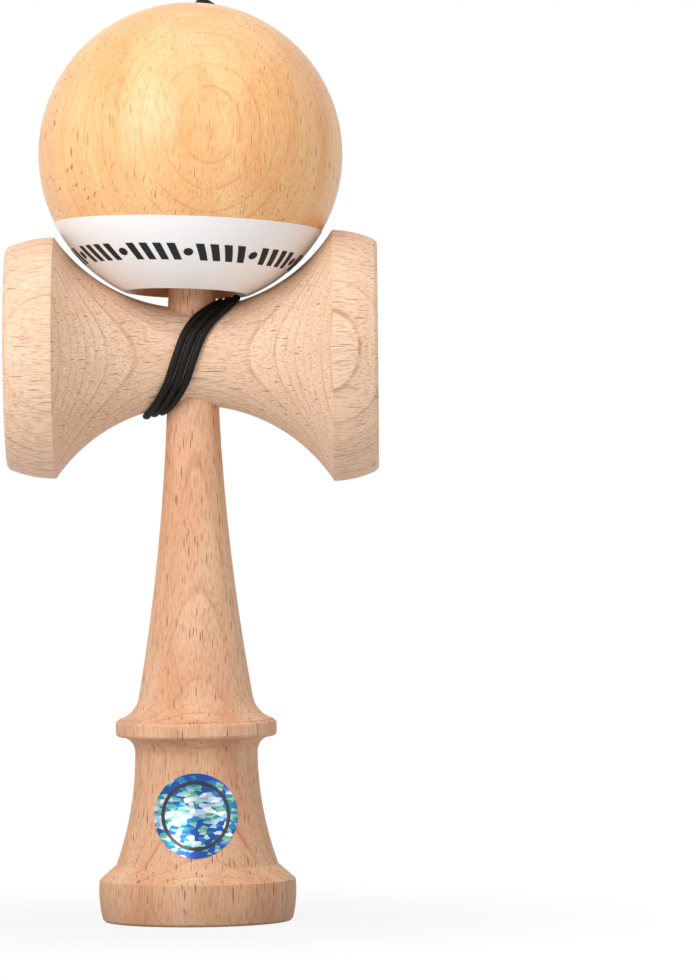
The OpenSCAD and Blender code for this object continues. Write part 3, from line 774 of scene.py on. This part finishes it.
def printing_ink():
    material, tree = new_material("black_screen_print_ink")
    place = add_node(tree, "ShaderNodeTexCoord").outputs["Object"]
    grain = add_node(tree, NOISE, {"Vector": place, "Scale": 1 / (INK_GRAIN_MM * MM), "Detail": 3.0})
    rough = add_node(tree, MAP_RANGE, {"Value": grain, "To Min": INK_ROUGHNESS[0],
                                       "To Max": INK_ROUGHNESS[1]})
    tint = add_node(tree, "ShaderNodeValToRGB", [grain])
    tint.color_ramp.elements[0].color = linear("#141216")
    tint.color_ramp.elements[1].color = linear("#242124")
    shader = add_node(tree, PRINCIPLED, {"Base Color": tint, "Roughness": rough, "Specular IOR Level": 0.25})
    add_node(tree, MATERIAL_OUTPUT, {"Surface": shader})
    return material


ink = printing_ink()
print("made", ink.name)

# %% [markdown]
# Drawing the marks as an image would blur close up, so Geometry Nodes make them as a mesh. They start
# from one flat bar, pushed aslant, and one flat dot.

# %% A flat bar and a flat dot
INK_LIFT = 0.012
BAR_POINTS = (4, 10)
DOT_SIDES = 28
# Sizes in millimetres, and degrees below the ball's middle
MARKS = {"Marks": 50, "Bar width": 1.6, "Bar height": 4.2, "Slant": -1.3, "Dot radius": 0.95,
         "Below middle": 44.5, "Ball radius": COAT_R + INK_LIFT, "Ink": 0.02}


def flat_marks(tree, given, y):
    bar = add_node(tree, "GeometryNodeMeshGrid", {"Size X": given["Bar width"], "Size Y": given["Bar height"],
                                                  "Vertices X": BAR_POINTS[0], "Vertices Y": BAR_POINTS[1]})
    slope = add_node(tree, MATH, [given["Slant"], given["Bar height"]], operation="DIVIDE")
    push = add_node(tree, COMBINE, {"X": add_node(tree, MATH, [y, slope], operation="MULTIPLY")})
    bar = add_node(tree, "GeometryNodeSetPosition", {"Geometry": bar, "Offset": push})
    dot = add_node(tree, "GeometryNodeMeshCircle", {"Vertices": DOT_SIDES, "Radius": given["Dot radius"]},
                   fill_type="NGON")
    return bar, dot


print("a bar is", MARKS["Bar height"], "mm high")

# %% [markdown]
# A mark is bent onto the front of the ball: its X becomes an angle round the ball, its Y an angle up and
# down, and its Z stands off the paint.

# %% The place of a mark on the ball
def on_the_ball(tree, given, x, y, z):
    ball_r = given["Ball radius"]
    below = add_node(tree, MATH, [given["Below middle"]], operation="RADIANS")
    level = add_node(tree, MATH, [below], operation="COSINE")
    row_r = add_node(tree, MATH, [level, ball_r], operation="MULTIPLY")
    around = add_node(tree, MATH, [x, row_r], operation="DIVIDE")
    rise = add_node(tree, MATH, [y, ball_r], operation="DIVIDE")
    down = add_node(tree, MATH, [below, rise], operation="SUBTRACT")
    reach = add_node(tree, MATH, [ball_r, z], operation="ADD")
    front = add_node(tree, COMBINE, {"Y": add_node(tree, MATH, [reach, -1.0], operation="MULTIPLY")})
    lowered = add_node(tree, "ShaderNodeVectorRotate", {"Vector": front, "Angle": down},
                       rotation_type="X_AXIS")
    return add_node(tree, "ShaderNodeVectorRotate", {"Vector": lowered, "Angle": around},
                    rotation_type="Z_AXIS")


print("the row lies", MARKS["Below middle"], "degrees below the ball's middle")

# %% [markdown]
# Bar and dot are thickened to a closed film of ink. One point for each mark lies in the ball's middle, and
# an instance on it is turned a step further round the ball's axis. The last two nodes make the instances
# real and give them the ink.

# %% The row of marks
DOT_EVERY = 5
WELD_MM = 0.0005


def marks_tree(material):
    tree = bpy.data.node_groups.new("marks_round_a_ball", "GeometryNodeTree")
    for name in MARKS:
        kind = "NodeSocketInt" if name == "Marks" else "NodeSocketFloat"
        tree.interface.new_socket(name, in_out="INPUT", socket_type=kind)
    tree.interface.new_socket("Geometry", in_out="OUTPUT", socket_type="NodeSocketGeometry")
    given = add_node(tree, "NodeGroupInput").outputs
    x, y, z = add_node(tree, SEPARATE, [add_node(tree, "GeometryNodeInputPosition")]).outputs
    bar, dot = flat_marks(tree, given, y)
    bent = on_the_ball(tree, given, x, y, z)
    points = add_node(tree, "GeometryNodeMeshLine", {"Count": given["Marks"], "Offset": (0, 0, 0)})
    number = add_node(tree, "GeometryNodeInputIndex")
    step = add_node(tree, MATH, [2 * math.pi, given["Marks"]], operation="DIVIDE")
    turn = add_node(tree, COMBINE, {"Z": add_node(tree, MATH, [number, step], operation="MULTIPLY")})
    turn = add_node(tree, "FunctionNodeEulerToRotation", [turn])
    place = add_node(tree, MATH, [number, DOT_EVERY], operation="MODULO")
    is_dot = add_node(tree, "FunctionNodeCompare", {2: place, 3: DOT_EVERY - 1}, data_type="INT",
                      operation="EQUAL")
    is_bar = add_node(tree, "FunctionNodeBooleanMath", [is_dot], operation="NOT")
    row = add_node(tree, "GeometryNodeJoinGeometry")
    for flat, chosen in ((bar, is_bar), (dot, is_dot)):
        film = add_node(tree, "GeometryNodeExtrudeMesh", {"Mesh": flat, "Offset Scale": given["Ink"],
                                                          "Individual": False})
        closed = add_node(tree, "GeometryNodeJoinGeometry", [film])
        tree.links.new(add_node(tree, "GeometryNodeFlipFaces", [flat]).outputs[0], closed.inputs[0])
        welded = add_node(tree, "GeometryNodeMergeByDistance", {"Geometry": closed, "Distance": WELD_MM})
        curved = add_node(tree, "GeometryNodeSetPosition", {"Geometry": welded, "Position": bent})
        turned = add_node(tree, "GeometryNodeInstanceOnPoints", {"Points": points, "Selection": chosen,
                                                                 "Instance": curved, "Rotation": turn})
        tree.links.new(turned.outputs[0], row.inputs[0])
    real = add_node(tree, "GeometryNodeRealizeInstances", [row])
    inked = add_node(tree, "GeometryNodeSetMaterial", {"Geometry": real, "Material": material})
    add_node(tree, "NodeGroupOutput", {"Geometry": inked})
    return tree


print("a mark every", 360 / MARKS["Marks"], "degrees")

# %% [markdown]
# The tree is run once on an empty object. Its result becomes a plain mesh, which is turned from the ball's
# upright axis to its leaning one and put in the ball's place.

# %% Printed marks round the paint band
def printed_marks(name):
    maker = link_piece(name + "_maker", bpy.data.meshes.new(name + "_maker"))
    modifier = maker.modifiers.new("marks", "NODES")
    modifier.node_group = marks_tree(ink)
    for item in modifier.node_group.interface.items_tree:
        if item.in_out == "INPUT":
            modifier[item.identifier] = MARKS[item.name]
    evaluated = maker.evaluated_get(bpy.context.evaluated_depsgraph_get())
    mesh = bpy.data.meshes.new_from_object(evaluated)
    bpy.data.objects.remove(maker)
    turn = Matrix((tama_side.cross(tama_axis), tama_side, tama_axis)).transposed().to_4x4()
    mesh.transform(Matrix.Scale(MM, 4) @ Matrix.Translation(tama_centre) @ turn)
    mesh.name = name
    return link_piece(name, mesh)


marks = printed_marks("printed_marks")
print("marks:", len(marks.data.polygons), "faces")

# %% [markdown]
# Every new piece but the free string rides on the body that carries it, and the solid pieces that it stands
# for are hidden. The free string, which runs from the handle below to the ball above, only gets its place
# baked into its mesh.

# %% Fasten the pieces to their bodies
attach(string_wound, "ken")
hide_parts("string_winding", "string_in_ken")
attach(knot_in_handle, "ken")
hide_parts("ken_knot")
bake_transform(string_free)
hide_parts("string_run")
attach(string_top, "tether")
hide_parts("string_in_tama")
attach(knot_under_bead, "tether")
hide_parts("bead_knot")
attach(marks, "tama")

print("fastened 6 pieces, of which 2 are cords")

# %% [markdown]
# The floor is a pale disc that turns fully white towards its edge, so that no horizon shows. For the
# camera it glows for the larger part, and the rest is plain diffuse floor, which keeps the shadow.
# Near the toy the paper is painted greyer, a painted shadow round the base, so that it also throws less
# light up at the base. From below the floor is clear, so that the cup in the base can be looked into.

# %% Floor
FLOOR_R = 0.6
FLOOR_DROP = 0.05
# Where the glow and the painted shadow's grey change, in millimetres from the toy's axis, and from what to
# what
FADE_MM, FLOOR_GLOW = (28, 110), (0.9, 1.0)
SHADOW_GREY_MM, PAINTED_SHADOW_GREY = (20, 150), (0.3, 0.88)


def seen_directly(tree):
    """1 for rays of the camera and for reflections, 0 for light that falls on the object."""
    path = add_node(tree, "ShaderNodeLightPath").outputs
    seen = path["Is Camera Ray"]
    for other in ("Is Glossy Ray", "Is Transmission Ray"):
        seen = add_node(tree, MATH, [seen, path[other]], operation="MAXIMUM")
    return seen


def white_floor():
    material, tree = new_material("white_paper_floor")
    place = add_node(tree, "ShaderNodeTexCoord").outputs["Object"]
    away = add_node(tree, VECTOR_MATH, [place], operation="LENGTH")
    glow = add_node(tree, MAP_RANGE, {"Value": away, "From Min": FADE_MM[0] * MM, "From Max": FADE_MM[1] * MM,
                                      "To Min": FLOOR_GLOW[0], "To Max": FLOOR_GLOW[1]},
                    interpolation_type="SMOOTHSTEP")
    share = add_node(tree, MATH, [glow, seen_directly(tree)], operation="MULTIPLY")
    # Painted shadow: the paper is painted greyer near the toy, greyest right under the base.
    painted_shadow_grey = add_node(tree, MAP_RANGE, {"Value": away, "From Min": SHADOW_GREY_MM[0] * MM, "From Max": SHADOW_GREY_MM[1] * MM,
                                      "To Min": PAINTED_SHADOW_GREY[0], "To Max": PAINTED_SHADOW_GREY[1]},
                    interpolation_type="SMOOTHSTEP")
    paper = add_node(tree, "ShaderNodeBsdfDiffuse", {"Color": painted_shadow_grey})
    white = add_node(tree, "ShaderNodeEmission", {"Color": (1, 1, 1, 1), "Strength": 1.0})
    top = add_node(tree, "ShaderNodeMixShader", [share, paper, white])
    clear = add_node(tree, "ShaderNodeBsdfTransparent")
    below = add_node(tree, "ShaderNodeNewGeometry").outputs["Backfacing"]
    both = add_node(tree, "ShaderNodeMixShader", [below, top, clear])
    add_node(tree, MATERIAL_OUTPUT, {"Surface": both})
    return material


disc = bmesh.new()
bmesh.ops.create_circle(disc, cap_ends=True, segments=96, radius=FLOOR_R)
bmesh.ops.translate(disc, verts=disc.verts, vec=(0, 0, -FLOOR_DROP * MM))
floor_mesh = bpy.data.meshes.new("floor")
disc.to_mesh(floor_mesh)
disc.free()
floor = link_piece("floor", floor_mesh)
floor.data.materials.append(white_floor())
print("floor", 2 * FLOOR_R, "m across")

# %% [markdown]
# The world is white where it is looked at and much dimmer where it lights the toy, so the background
# stays white without washing the wood out. A large soft box stands at the left in front, one hangs
# above and a weaker one fills from the right. All are far larger than the toy, so shadows stay soft.

# %% Background and studio light
AMBIENT = 0.43
TOY_MIDDLE = (0, 0, 0.1)

world = bpy.data.worlds.new("studio")
bpy.context.scene.world = world
world.use_nodes = True
sky = world.node_tree
sky.nodes.clear()
strength = add_node(sky, MAP_RANGE, {"Value": seen_directly(sky), "To Min": AMBIENT, "To Max": 1.0})
backdrop = add_node(sky, "ShaderNodeBackground", {"Color": (1, 1, 1, 1), "Strength": strength})
add_node(sky, "ShaderNodeOutputWorld", {"Surface": backdrop})


def soft_box(name, place, size, power):
    lamp = bpy.data.lights.new(name, "AREA")
    lamp.shape = "RECTANGLE"
    lamp.size, lamp.size_y = size
    lamp.energy = power
    box = link_piece(name, lamp)
    aim = (Vector(TOY_MIDDLE) - Vector(place)).to_track_quat("-Z", "Y").to_matrix().to_4x4()
    box.matrix_world = Matrix.Translation(place) @ aim


soft_box("key", (-0.32, -0.54, 0.5), (0.45, 0.55), 3.9)
soft_box("top", (0, -0.1, 0.8), (0.6, 0.6), 1.6)
soft_box("fill", (0.9, -0.8, 0.35), (0.8, 0.8), 1.2)
bpy.context.scene.view_settings.view_transform = "Standard"
print("lights:", [light.name for light in bpy.data.lights])
